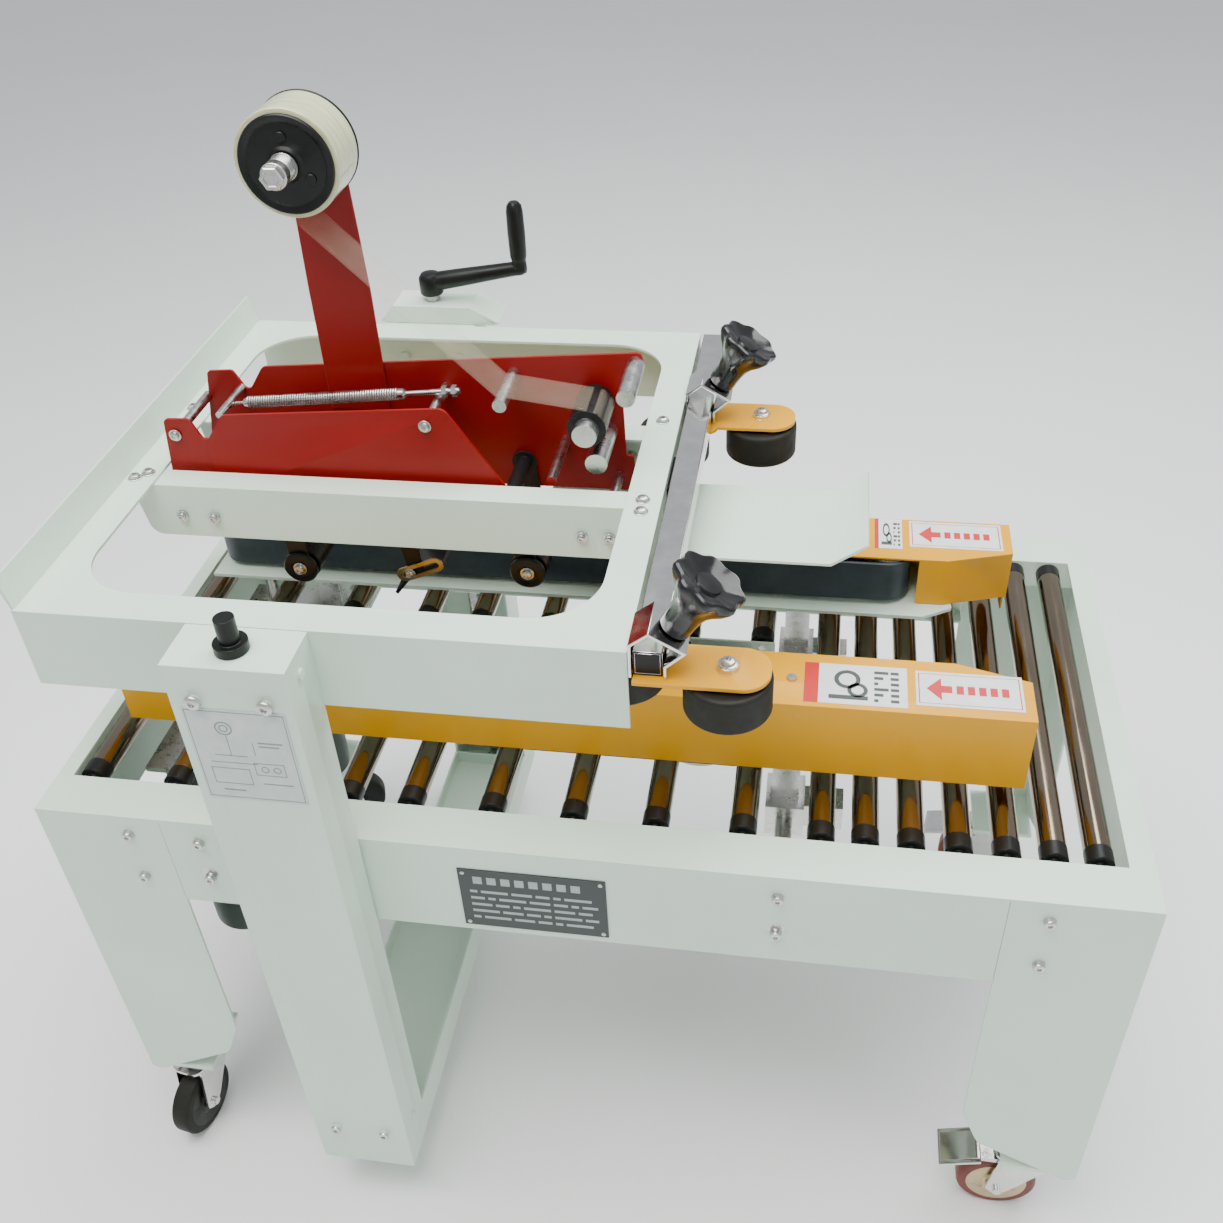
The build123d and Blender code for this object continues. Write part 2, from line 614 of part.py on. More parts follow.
# ---------------------------------------------------------------- upper tape head
NEAR_PLATE = [(-439, 244), (-432, 313), (-405, 314), (-393, 287), (-369, 320), (-140, 337),
              (-85, 250), (30, 246), (30, 205), (-455, 205), (-455, 244)]
FAR_PLATE = [(-430, 244), (-416, 326), (-388, 328), (-375, 303), (-354, 333), (40, 362),
             (45, 346), (20, 335), (22, 246), (30, 246), (30, 205), (-455, 205), (-455, 244)]
FRONT_P, REAR_P = (-85.0, 236.0), (-330.0, 240.0)   # arm pivots
FRONT_R, REAR_R = (-74.0, 147.0), (-324.0, 136.0)   # application rollers
KNIFE_P = (-214.0, 232.0)
with BuildPart() as tape_head_plates:
    for s, pts in ((-1, NEAR_PLATE), (1, FAR_PLATE)):
        with BuildSketch(Plane.XZ.offset(-s * 39.5)):
            with BuildLine():
                FilletPolyline(*[(x, H + z) for x, z in pts],
                               radius=[3, 5, 5, 5, 8, 12, 4, 2, 2, 2, 2] if s < 0 else
                               [3, 5, 5, 5, 8, 5, 5, 5, 3, 2, 2, 2, 2], close=True)
            make_face()
            with Locations(*[(x, H + z) for x, z in (FRONT_P, REAR_P, KNIFE_P)]):
                Circle(4, mode=Mode.SUBTRACT)
        extrude(amount=1.5, both=True)
        for x in (-417, -383, -5, 22):                             # fixing screws
            dome_head(x, s * 38, H + 225, "Y", s, 5, 43)
    for x, z in ((-423, 296), (-440, 222), (-160, 318), (14, 222), (-40, 262)):
        with along(x, 0, H + z, "Y"):                                  # spacers
            Cylinder(5, 84 if z != 262 else 82)
    for x, z in (FRONT_P, REAR_P, KNIFE_P):                            # pivot pins
        with along(x, 0, H + z, "Y"):
            Cylinder(4, 82)
    # guide rollers and tension roller standing on the far plate
    for x, z, r, y0 in ((-88, 335, 7, -28), (35, 349, 9, -30), (3, 275, 11, -28)):
        with along(x, (y0 + 38) / 2, H + z, "Y"):
            Cylinder(r, 38 - y0)
    with along(-5, 3, H + 312, "Y"):
        Cylinder(19, 56)
    with along(-5, 0, H + 312, "Y"):
        Cylinder(12, 78)
    with along(-381, 8, H + 309, "Y"):                                 # spring hooks
        Cylinder(4, 60)
save(tape_head_plates, "tape_head_plates")

with BuildPart() as tape_arm:
    with BuildSketch(Plane.XZ.offset(-36.4)):
        with BuildLine():
            FilletPolyline((-285, H + 290), (-285, H + 420), (-282, ROLL_Z + 18), (-228, ROLL_Z + 18),
                           (-222, H + 420), (-222, H + 290), radius=[2, 20, 14, 14, 20, 2], close=True)
        make_face()
    extrude(amount=1.5, both=True)
    with along(ROLL_X, -12, ROLL_Z, "Y"):                              # spindle
        Cylinder(8, 98)
    with along(ROLL_X, -52, ROLL_Z, "Y"):                              # end nut
        Cylinder(12, 10)
save(tape_arm, "tape_arm")

with BuildPart() as tape_roll:
    with along(ROLL_X, 0, ROLL_Z, "Y"):
        Cylinder(ROLL_R, 56)
        Cylinder(20, 62)
        Cylinder(8.06, 70, mode=Mode.SUBTRACT)
save(tape_roll, "tape_roll")


def arm_sketch(p, r, w):
    """Side plate from a pivot to a roller centre."""
    with Locations((p[0], H + p[1])):
        Circle(w)
    with Locations((r[0], H + r[1])):
        Circle(w - 2)
    a = math.atan2(r[1] - p[1], r[0] - p[0])
    nx, ny = -math.sin(a) * (w - 2), math.cos(a) * (w - 2)
    Polygon((p[0] + nx, H + p[1] + ny), (r[0] + nx, H + r[1] + ny),
            (r[0] - nx, H + r[1] - ny), (p[0] - nx, H + p[1] - ny), align=None)


for name, p, r, rr in (("front_arm", FRONT_P, FRONT_R, 19.0), ("rear_arm", REAR_P, REAR_R, 19.0)):
    with BuildPart() as arm:
        for s in (-1, 1):
            with BuildSketch(Plane.XZ.offset(-s * 34)):
                arm_sketch(p, r, 13)
            extrude(amount=1.5, both=True)
        with along(p[0], 0, H + p[1], "Y"):
            Cylinder(8, 68)
        with along(r[0], 0, H + r[1], "Y"):
            Cylinder(rr, 62)
            Cylinder(5, 74)
        with along(p[0], 0, H + p[1], "Y"):
            Cylinder(4.06, 90, mode=Mode.SUBTRACT)
    save(arm, name)

with BuildPart() as knife_arm:
    for s in (-1, 1):
        with BuildSketch(Plane.XZ.offset(-s * 26)):
            arm_sketch(KNIFE_P, (-200, 136), 11)
        extrude(amount=1.5, both=True)
    with along(KNIFE_P[0], 0, H + KNIFE_P[1], "Y"):
        Cylinder(8, 60)
    with BuildSketch(Plane.XZ):
        Polygon(*strip([(-168, H + 145), (-204, H + 128), (-226, H + 100)], 4), align=None)
    extrude(amount=27, both=True)
    with along(KNIFE_P[0], 0, H + KNIFE_P[1], "Y"):
        Cylinder(4.06, 90, mode=Mode.SUBTRACT)
save(knife_arm, "knife_arm")

with BuildPart() as main_spring:
    a0 = Vector(-374, 8, H + 307)
    a1 = Vector(-168, 8, H + 328)
    with BuildSketch(Plane(origin=a0, z_dir=(a1 - a0))):
        Circle(6)
        Circle(4.5, mode=Mode.SUBTRACT)
    extrude(amount=(a1 - a0).length)
save(main_spring, "main_spring")

# ---------------------------------------------------------------- lower tape head
LRX, LRZ = 100.0, H - 80.0
with BuildPart() as lower_head:
    for s in (-1, 1):
        with BuildSketch(Plane.XZ.offset(-s * 39.5)):
            with BuildLine():
                FilletPolyline((-180, H - 12), (155, H - 12), (155, H - 108), (-150, H - 108),
                               (-180, H - 80), radius=[4, 4, 12, 12, 12], close=True)
            make_face()
        extrude(amount=1.5, both=True)
        for x in (-150, 125):                                          # hangers
            with along(x, s * 48, H - 30, "Y"):
                Cylinder(6, 14)
    for x, z in ((-165, -30), (-120, -92), (0, -92), (-100, -34), (30, -40)):
        with along(x, 0, H + z, "Y"):
            Cylinder(6, 80)
    with along(-40, 0, H - 22, "Y"):                                   # guide roller
        Cylinder(15, 64)
        Cylinder(5, 80)
    with along(LRX, 3, LRZ, "Y"):                                      # spindle
        Cylinder(8, 75)
save(lower_head, "lower_head")

with BuildPart() as lower_roll:
    with along(LRX, 0, LRZ, "Y"):
        Cylinder(ROLL_R, 50)
        Cylinder(38, 56)
        Cylinder(8.06, 70, mode=Mode.SUBTRACT)
save(lower_roll, "lower_tape_roll")
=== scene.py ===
import bpy
import bmesh
import json
import math
from mathutils import Vector, Matrix

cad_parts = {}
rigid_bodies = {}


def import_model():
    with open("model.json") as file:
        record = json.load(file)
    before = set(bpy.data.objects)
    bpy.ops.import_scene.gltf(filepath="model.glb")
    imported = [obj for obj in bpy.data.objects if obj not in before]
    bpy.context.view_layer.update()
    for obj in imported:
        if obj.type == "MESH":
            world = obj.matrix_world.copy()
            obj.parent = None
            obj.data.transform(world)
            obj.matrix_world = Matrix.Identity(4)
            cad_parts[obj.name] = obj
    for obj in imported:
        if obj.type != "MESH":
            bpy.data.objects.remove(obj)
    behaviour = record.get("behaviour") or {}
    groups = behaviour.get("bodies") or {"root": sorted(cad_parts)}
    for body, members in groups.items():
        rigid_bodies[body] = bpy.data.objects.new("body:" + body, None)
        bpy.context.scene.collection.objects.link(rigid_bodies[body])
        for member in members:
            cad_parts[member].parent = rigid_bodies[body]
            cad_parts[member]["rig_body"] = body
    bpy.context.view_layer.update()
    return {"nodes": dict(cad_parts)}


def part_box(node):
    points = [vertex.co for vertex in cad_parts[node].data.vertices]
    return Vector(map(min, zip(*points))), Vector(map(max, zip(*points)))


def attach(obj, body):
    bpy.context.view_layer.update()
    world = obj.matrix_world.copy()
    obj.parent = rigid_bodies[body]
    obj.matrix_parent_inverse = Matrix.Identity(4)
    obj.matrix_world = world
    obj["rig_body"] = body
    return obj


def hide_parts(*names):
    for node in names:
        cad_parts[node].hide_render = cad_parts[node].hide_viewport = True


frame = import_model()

N = frame["nodes"]
H = 0.580


# ------------------------------------------------------------------ materials
def tree(name):
    m = bpy.data.materials.new(name)
    m.use_nodes = True
    nt = m.node_tree
    b = nt.nodes["Principled BSDF"]
    tc = nt.nodes.new("ShaderNodeTexCoord")
    return m, nt, b, tc.outputs["Object"]


def noise(nt, co, scale, detail=4.0, rough=0.6, stretch=None):
    n = nt.nodes.new("ShaderNodeTexNoise")
    n.inputs["Scale"].default_value = scale
    n.inputs["Detail"].default_value = detail
    n.inputs["Roughness"].default_value = rough
    if stretch:
        mp = nt.nodes.new("ShaderNodeMapping")
        mp.inputs["Scale"].default_value = stretch
        nt.links.new(co, mp.inputs["Vector"])
        co = mp.outputs["Vector"]
    nt.links.new(co, n.inputs["Vector"])
    return n.outputs["Fac"]


def ramp(nt, fac, stops):
    r = nt.nodes.new("ShaderNodeValToRGB")
    e = r.color_ramp.elements
    e[0].position, e[0].color = stops[0][0], stops[0][1]
    e[1].position, e[1].color = stops[-1][0], stops[-1][1]
    for p, c in stops[1:-1]:
        x = e.new(p)
        x.color = c
    nt.links.new(fac, r.inputs["Fac"])
    return r.outputs["Color"]


def rgb(c, k=1.0):
    return (min(1, c[0] * k), min(1, c[1] * k), min(1, c[2] * k), 1.0)


def grey(v):
    return (v, v, v, 1.0)


def mix(nt, fac, a, b):
    m = nt.nodes.new("ShaderNodeMix")
    m.data_type = "RGBA"
    nt.links.new(fac, m.inputs["Factor"])
    for s, v in (("A", a), ("B", b)):
        i = [x for x in m.inputs if x.name == s and x.type == "RGBA"][0]
        if isinstance(v, tuple):
            i.default_value = v
        else:
            nt.links.new(v, i)
    return [x for x in m.outputs if x.type == "RGBA"][0]


def bump(nt, b, fac, strength, dist):
    n = nt.nodes.new("ShaderNodeBump")
    n.inputs["Strength"].default_value = strength
    n.inputs["Distance"].default_value = dist
    nt.links.new(fac, n.inputs["Height"])
    nt.links.new(n.outputs["Normal"], b.inputs["Normal"])


def paint(name, c, rough=0.35, peel=0.12, dirt=0.10, coat=0.0, wear=None, spec=0.5):
    """Powder coat: orange peel, faint handling marks, large random darker patches."""
    m, nt, b, co = tree(name)
    big = noise(nt, co, 3.5, 5)
    col = ramp(nt, big, [(0.30, rgb(c, 1 - dirt)), (0.62, rgb(c, 1.02))])
    spots = noise(nt, co, 55, 6, 0.7)
    dark = ramp(nt, spots, [(0.66, grey(0)), (0.82, grey(0.35))])
    col = mix(nt, dark, col, rgb(c, 0.72))
    if wear:
        w = noise(nt, co, 22, 8, 0.75, (1, 1, 3))
        wf = ramp(nt, w, [(0.70, grey(0)), (0.745, grey(0.6))])
        col = mix(nt, wf, col, wear)
    nt.links.new(col, b.inputs["Base Color"])
    r = ramp(nt, noise(nt, co, 14, 5), [(0.3, grey(rough - 0.06)), (0.7, grey(rough + 0.10))])
    nt.links.new(r, b.inputs["Roughness"])
    b.inputs["Coat Weight"].default_value = coat
    b.inputs["Coat Roughness"].default_value = 0.12
    b.inputs["Specular IOR Level"].default_value = spec
    bump(nt, b, noise(nt, co, 900, 2), peel, 0.0004)
    return m


def metal(name, c, rough=0.18, stretch=None, scale=60, var=0.12, bstr=0.10):
    m, nt, b, co = tree(name)
    n1 = noise(nt, co, scale, 6, 0.65, stretch)
    col = ramp(nt, n1, [(0.28, rgb(c, 1 - var)), (0.70, rgb(c, 1.05))])
    blot = ramp(nt, noise(nt, co, 18, 5), [(0.55, grey(0)), (0.80, grey(0.45))])
    col = mix(nt, blot, col, rgb(c, 0.78))
    nt.links.new(col, b.inputs["Base Color"])
    b.inputs["Metallic"].default_value = 1.0
    r = ramp(nt, n1, [(0.25, grey(max(0.03, rough - 0.08))), (0.75, grey(rough + 0.12))])
    nt.links.new(r, b.inputs["Roughness"])
    bump(nt, b, n1, bstr, 0.0003)
    return m


def rubber(name, c, rough=0.6, grain=420, spec=0.4):
    m, nt, b, co = tree(name)
    col = ramp(nt, noise(nt, co, 30, 7, 0.7), [(0.30, rgb(c, 0.75)), (0.62, rgb(c, 1.25)), (0.85, rgb(c, 2.0))])
    nt.links.new(col, b.inputs["Base Color"])
    r = ramp(nt, noise(nt, co, 45, 5), [(0.3, grey(rough - 0.12)), (0.7, grey(rough + 0.10))])
    nt.links.new(r, b.inputs["Roughness"])
    b.inputs["Specular IOR Level"].default_value = spec
    bump(nt, b, noise(nt, co, grain, 3), 0.22, 0.0004)
    return m


WHITE = paint("powder_coat_white", (0.632, 0.768, 0.650), 0.34, 0.12, 0.07)
YELLOW = paint("yellow_coat", (0.72, 0.335, 0.001), 0.32, 0.10, 0.08, coat=0.06, spec=0.28)
RED = paint("red_coat", (0.245, 0.0040, 0.0030), 0.38, 0.10, 0.12, coat=0.03, spec=0.26)
DARK = paint("dark_motor_paint", (0.045, 0.06, 0.055), 0.45, 0.2, 0.2)
CHROME = metal("chrome", (0.78, 0.77, 0.76), 0.10, None, 40, 0.08, 0.03)
ROLLER = metal("roller_tube", (0.285, 0.230, 0.170), 0.14, (1, 0.12, 1), 60, 0.22, 0.03)
ZINC = metal("zinc_plate", (0.62, 0.62, 0.60), 0.28, None, 90, 0.20, 0.15)
STEEL = metal("turned_steel", (0.50, 0.50, 0.49), 0.24, (1, 1, 12), 40, 0.22, 0.15)
ARMS = paint("arm_black_coat", (0.010, 0.011, 0.012), 0.34, 0.10, 0.2, spec=0.3)
BELT = rubber("belt_rubber", (0.020, 0.031, 0.039), 0.44, 600, 0.5)
BLACK = rubber("black_plastic", (0.0055, 0.0062, 0.0058), 0.36, 300, 0.28)
KNOB = rubber("knob_plastic", (0.006, 0.006, 0.007), 0.20, 200, 0.5)
TREAD = rubber("wheel_rubber", (0.013, 0.0125, 0.0095), 0.62, 500, 0.25)
REDTREAD = rubber("caster_tread_red", (0.16, 0.035, 0.022), 0.5, 400, 0.4)
BRASS = metal("yellow_zinc", (0.62, 0.50, 0.30), 0.30, None, 70, 0.2, 0.1)


def tape_material():
    """Wound clear tape: fine bands on the rim, plain noise on the faces."""
    m, nt, b, co = tree("wound_tape")
    sep = nt.nodes.new("ShaderNodeSeparateXYZ")
    nt.links.new(co, sep.inputs[0])
    n1 = noise(nt, co, 35, 5, 0.6, (1, 9, 1))
    col = ramp(nt, n1, [(0.30, (0.42, 0.43, 0.25, 1)), (0.70, (0.60, 0.62, 0.40, 1))])
    nt.links.new(col, b.inputs["Base Color"])
    b.inputs["Roughness"].default_value = 0.22
    b.inputs["Coat Weight"].default_value = 0.5
    b.inputs["Subsurface Weight"].default_value = 0.08
    bump(nt, b, noise(nt, co, 80, 4, 0.5, (1, 20, 1)), 0.15, 0.0005)
    return m


def film_material():
    m, nt, b, co = tree("clear_film")
    n1 = noise(nt, co, 25, 4)
    col = ramp(nt, n1, [(0.3, (0.60, 0.50, 0.36, 1)), (0.7, (0.74, 0.66, 0.50, 1))])
    nt.links.new(col, b.inputs["Base Color"])
    b.inputs["Roughness"].default_value = 0.12
    b.inputs["Alpha"].default_value = 0.07
    bump(nt, b, n1, 0.2, 0.001)
    return m


TAPE = tape_material()
FILM = film_material()


def flat(name, c, rough=0.4):
    m, nt, b, co = tree(name)
    col = ramp(nt, noise(nt, co, 60, 5), [(0.3, rgb(c, 0.90)), (0.7, rgb(c, 1.04))])
    nt.links.new(col, b.inputs["Base Color"])
    b.inputs["Roughness"].default_value = rough
    bump(nt, b, noise(nt, co, 700, 2), 0.05, 0.0002)
    return m


PLATE_DK = flat("name_plate_green", (0.010, 0.022, 0.020), 0.35)
INK_LT = flat("pale_print", (0.36, 0.42, 0.40), 0.5)
STICKER = flat("white_sticker", (0.72, 0.74, 0.74), 0.30)
STICKER2 = flat("grey_sticker", (0.56, 0.62, 0.60), 0.40)
INK_RED = flat("red_print", (0.55, 0.02, 0.02), 0.4)
INK_DK = flat("dark_print", (0.05, 0.06, 0.06), 0.5)
INK_GY = flat("grey_print", (0.22, 0.26, 0.26), 0.5)


# ------------------------------------------------------------------ mesh tools
def obj(name, bm, mats, body, smooth=None, autos=35):
    me = bpy.data.meshes.new(name)
    bmesh.ops.recalc_face_normals(bm, faces=bm.faces)
    bm.to_mesh(me)
    bm.free()
    o = bpy.data.objects.new(name, me)
    bpy.context.scene.collection.objects.link(o)
    for m in (mats if isinstance(mats, (list, tuple)) else [mats]):
        me.materials.append(m)
    if autos:
        for p in me.polygons:
            p.use_smooth = True
        me.set_sharp_from_angle(angle=math.radians(autos))
    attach(o, body)
    return o


def basis(origin, axis, ref=(0, 0, 1)):
    z = Vector(axis).normalized()
    r = Vector(ref)
    if abs(z.dot(r)) > 0.99:
        r = Vector((1, 0, 0))
    x = r.cross(z).normalized()
    y = z.cross(x)
    return Matrix((x, y, z)).transposed().to_4x4(), Vector(origin)


def lathe(bm, origin, axis, prof, seg=48, mat=0, lobes=None):
    """Revolve (r, h) points about axis through origin; lobes(angle, r, h) may change r."""
    M, o = basis(origin, axis)
    rings = []
    for r, h in prof:
        ring = []
        if r < 1e-7:
            ring = [bm.verts.new(o + M @ Vector((0, 0, h)))]
        else:
            for i in range(seg):
                a = 2 * math.pi * i / seg
                rr = lobes(a, r, h) if lobes else r
                ring.append(bm.verts.new(o + M @ Vector((rr * math.cos(a), rr * math.sin(a), h))))
        rings.append(ring)
    for a, b in zip(rings, rings[1:]):
        for i in range(seg):
            j = (i + 1) % seg
            if len(a) == 1 and len(b) == 1:
                continue
            if len(a) == 1:
                f = bm.faces.new((a[0], b[i], b[j]))
            elif len(b) == 1:
                f = bm.faces.new((a[i], b[0], a[j]))
            else:
                f = bm.faces.new((a[i], b[i], b[j], a[j]))
            f.material_index = mat


def chip(bm, pts, normal, t, mat=0):
    """A thin printed plate: outline pts, pushed out along normal by t."""
    n = Vector(normal).normalized() * t
    lo = [bm.verts.new(Vector(p)) for p in pts]
    hi = [bm.verts.new(Vector(p) + n) for p in pts]
    k = len(pts)
    for f in (bm.faces.new(hi), bm.faces.new(lo[::-1])):
        f.material_index = mat
    for i in range(k):
        j = (i + 1) % k
        bm.faces.new((lo[i], lo[j], hi[j], hi[i])).material_index = mat


def coil(bm, a, b, r, wire, turns, mat=0, per=18, seg=7):
    a, b = Vector(a), Vector(b)
    M, o = basis(a, b - a)
    ln = (b - a).length
    n = int(turns * per)
    prev = None
    for i in range(n + 1):
        t = i / n
        ang = 2 * math.pi * turns * t
        c = Vector((r * math.cos(ang), r * math.sin(ang), ln * t))
        tan = Vector((-r * math.sin(ang) * 2 * math.pi * turns, r * math.cos(ang) * 2 * math.pi * turns, ln)).normalized()
        u = Vector((math.cos(ang), math.sin(ang), 0))
        v = tan.cross(u).normalized()
        ring = [bm.verts.new(o + M @ (c + wire * (math.cos(q) * u + math.sin(q) * v)))
                for q in [2 * math.pi * s / seg for s in range(seg)]]
        if prev:
            for s in range(seg):
                w = (s + 1) % seg
                bm.faces.new((prev[s], prev[w], ring[w], ring[s])).material_index = mat
        else:
            bm.faces.new(ring[::-1]).material_index = mat
        prev = ring
    bm.faces.new(prev).material_index = mat


def remat(node, fn, mats, autos=32, bevel=0):
    """A copy of a CAD node with a material per face, standing for it."""
    src = N[node]
    me = src.data.copy()
    me.name = node + "_skin"
    o = bpy.data.objects.new(node + "_skin", me)
    bpy.context.scene.collection.objects.link(o)
    me.materials.clear()
    for m in mats:
        me.materials.append(m)
    bm = bmesh.new()
    bm.from_mesh(me)
    bmesh.ops.remove_doubles(bm, verts=bm.verts, dist=1e-6)
    bmesh.ops.dissolve_limit(bm, angle_limit=math.radians(0.5), verts=bm.verts, edges=bm.edges)
    for f in bm.faces:
        f.material_index = fn(f.calc_center_median(), f.normal)
    bm.to_mesh(me)
    bm.free()
    for p in me.polygons:
        p.use_smooth = True
    me.set_sharp_from_angle(angle=math.radians(autos))
    if bevel:
        mod = o.modifiers.new("edge", "BEVEL")
        mod.width = bevel
        mod.segments = 2
        mod.limit_method = "ANGLE"
        mod.angle_limit = math.radians(40)
        mod.use_clamp_overlap = True
        mod.harden_normals = False
    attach(o, src["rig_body"])
    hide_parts(node)
    return o


def hexbolt(bm, p, axis, r=0.006, h=0.004, mat=0, washer=True):
    p = Vector(p)
    ax = Vector(axis).normalized()
    if washer:
        lathe(bm, p, ax, [(0, 0), (r * 1.35, 0), (r * 1.35, 0.0010), (r * 1.28, 0.0013), (0, 0.0013)], 24, mat)
        p = p + ax * 0.0013
    lathe(bm, p, ax, [(0, 0), (r, 0), (r, h * 0.45), (r * 0.92, h * 0.75), (r * 0.62, h), (r * 0.42, h),
                      (r * 0.40, h * 0.55), (0, h * 0.5)], 24, mat)


# ------------------------------------------------------------------ CAD finishes
def const(i):
    return lambda c, n: i


for node in ("bed_frame", "legs", "head_frame", "head_guides", "lift_frame"):
    remat(node, const(0), [WHITE], 30, 0.0011)
for side in ("near", "far"):
    remat("belt_cover_" + side, lambda c, n: 1 if c.z > H + 0.1022 else 0, [YELLOW, ZINC], 30, 0.0009)

    def deck(c, n, s=(-1 if side == "near" else 1)):
        if c.z > H + 0.0425:
            return 1
        if c.z > H + 0.030:
            return 0
        if c.x < -0.405 and c.z < H - 0.060:
            return 2
        return 1
    remat("belt_deck_" + side, deck, [WHITE, ZINC, DARK], 32, 0)
    remat("side_belt_" + side, const(0), [BELT], 40, 0.0008)

    def brk(c, n):
        if H + 0.2322 < c.z < H + 0.2371:
            return 0
        return 1
    remat("press_bracket_" + side, brk, [YELLOW, CHROME], 32, 0.0005)
    for t, x in (("outer", 0.153), ("inner", 0.060)):
        remat("press_wheel_%s_%s" % (side, t), const(0), [TREAD], 32, 0)

for i in range(1, 17):
    node = "roller_%02d" % i
    lo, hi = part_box(node)
    remat(node, lambda c, n: 1 if abs(abs(c.y) - 0.230) < 0.0006 or abs(abs(c.y) - 0.062) < 0.0006 and abs(n.y) > 0.5 else 0,
          [ROLLER, BLACK], 40, 0.0006)
    xc = (lo.x + hi.x) / 2
    zc = (lo.z + hi.z) / 2
    split = 3 <= i <= 9
    bm = bmesh.new()
    ends = [(-0.230, -1), (0.230, 1)] + ([(-0.062, 1), (0.062, -1)] if split else [])
    for y, d in ends:
        # moulded cap: flange, rim and a raised bearing boss round the axle
        lathe(bm, (xc, y, zc), (0, d, 0), [(0.0126, -0.016), (0.01345, -0.0155), (0.01345, 0.0010), (0.0128, 0.0018),
                                           (0.0098, 0.0019), (0.0092, 0.0010), (0.0070, 0.0010),
                                           (0.0066, 0.0028), (0.0046, 0.0028), (0.0044, 0.0)], 36, 0)
    obj("roller_caps_%02d" % i, bm, [BLACK], "roller_%02d_body" % i)

for key in ("near_left", "near_right", "far_left", "far_right"):
    remat("caster_fork_" + key, const(0), [CHROME], 32, 0.0006)
    right = "right" in key
    lo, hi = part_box("caster_wheel_" + key)
    c0 = (lo + hi) / 2
    remat("caster_wheel_" + key, lambda c, n, c0=c0: 1 if (c - c0).length < 0.0335 else 0,
          [REDTREAD if right else TREAD, BLACK if not right else BRASS], 32, 0)
    if right:
        remat("brake_pedal_" + key, const(0), [CHROME], 32, 0.0005)
remat("press_rail", lambda c, n: 1 if abs(c.y) > 0.2895 or (c.x < 0.076) else 0, [CHROME, BLACK], 32, 0.0009)
remat("frame_hardware", lambda c, n: 1 if abs(c.y) > 0.2895 and H - 0.115 < c.z < H - 0.02 and -0.31 < c.x < -0.2 else 0,
      [ZINC, WHITE], 32, 0.0003)
remat("width_screw", lambda c, n: 1 if c.y > 0.305 else 0, [ZINC, BLACK], 32, 0)
remat("lift_screw_near", lambda c, n: 0 if c.z > H + 0.2612 else 1, [BLACK, STEEL], 32, 0.0006)
remat("lift_screw_far", const(0), [STEEL], 32, 0.0006)
cz = H + 0.302
bm = bmesh.new()
lathe(bm, (-0.256, 0.321, cz - 0.012), (0, 0, 1), [(0.0092, 0), (0.0130, 0.0005), (0.0142, 0.0025), (0.0142, 0.0150), (0.0138, 0.0210),
                                                  (0.0110, 0.0250), (0.0060, 0.0268), (0, 0.0272)], 48, 0)
ad = Vector((-0.1447 + 0.262, 0, 0.0215))
lathe(bm, (-0.262, 0.321, cz + 0.001), ad, [(0, 0.001), (0.0062, 0.002), (0.0100, 0.008), (0.0112, 0.018), (0.0104, 0.050),
                                          (0.0090, 0.090), (0.0084, 0.112), (0.0088, 0.120), (0.0068, 0.1262), (0, 0.1285)], 40, 0)
lathe(bm, (-0.145, 0.321, cz + 0.020), (0, 0, 1), [(0, 0), (0.0080, 0.0006), (0.0090, 0.004), (0.0086, 0.010), (0.0082, 0.012),
                                                  (0.0088, 0.0135), (0.0098, 0.018), (0.0103, 0.045), (0.0098, 0.070),
                                                  (0.0086, 0.0775), (0.0055, 0.0815), (0, 0.0822)], 40, 0)
crank = obj("lift_crank_skin", bm, [BLACK], "lift_screw_far_body")
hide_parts("lift_crank")


def plates(c, n):
    """Side plates red; black tension ring; the rest turned or plated steel."""
    rad = math.hypot(c.x + 0.005, c.z - H - 0.312)
    if rad < 0.0125 and c.y < -0.0265:
        return 1
    if rad < 0.0196 and c.y < 0.0375:
        return 2
    for x, z, r in ((-0.088, 0.335, 0.0073), (0.035, 0.349, 0.0093), (0.003, 0.275, 0.0113)):
        if math.hypot(c.x - x, c.z - H - z) < r and c.y < 0.0375:
            return 1
    if abs(abs(c.y) - 0.0395) < 0.0016 and not (abs(c.y) > 0.0412):
        rel = [(x, z) for x, z, r in ((-0.423, 0.296, 0.0052), (-0.160, 0.318, 0.0052), (-0.085, 0.236, 0.0042),
                                      (-0.330, 0.240, 0.0042), (-0.214, 0.232, 0.0042))
               if math.hypot(c.x - x, c.z - H - z) < r]
        return 1 if rel else 0
    return 1


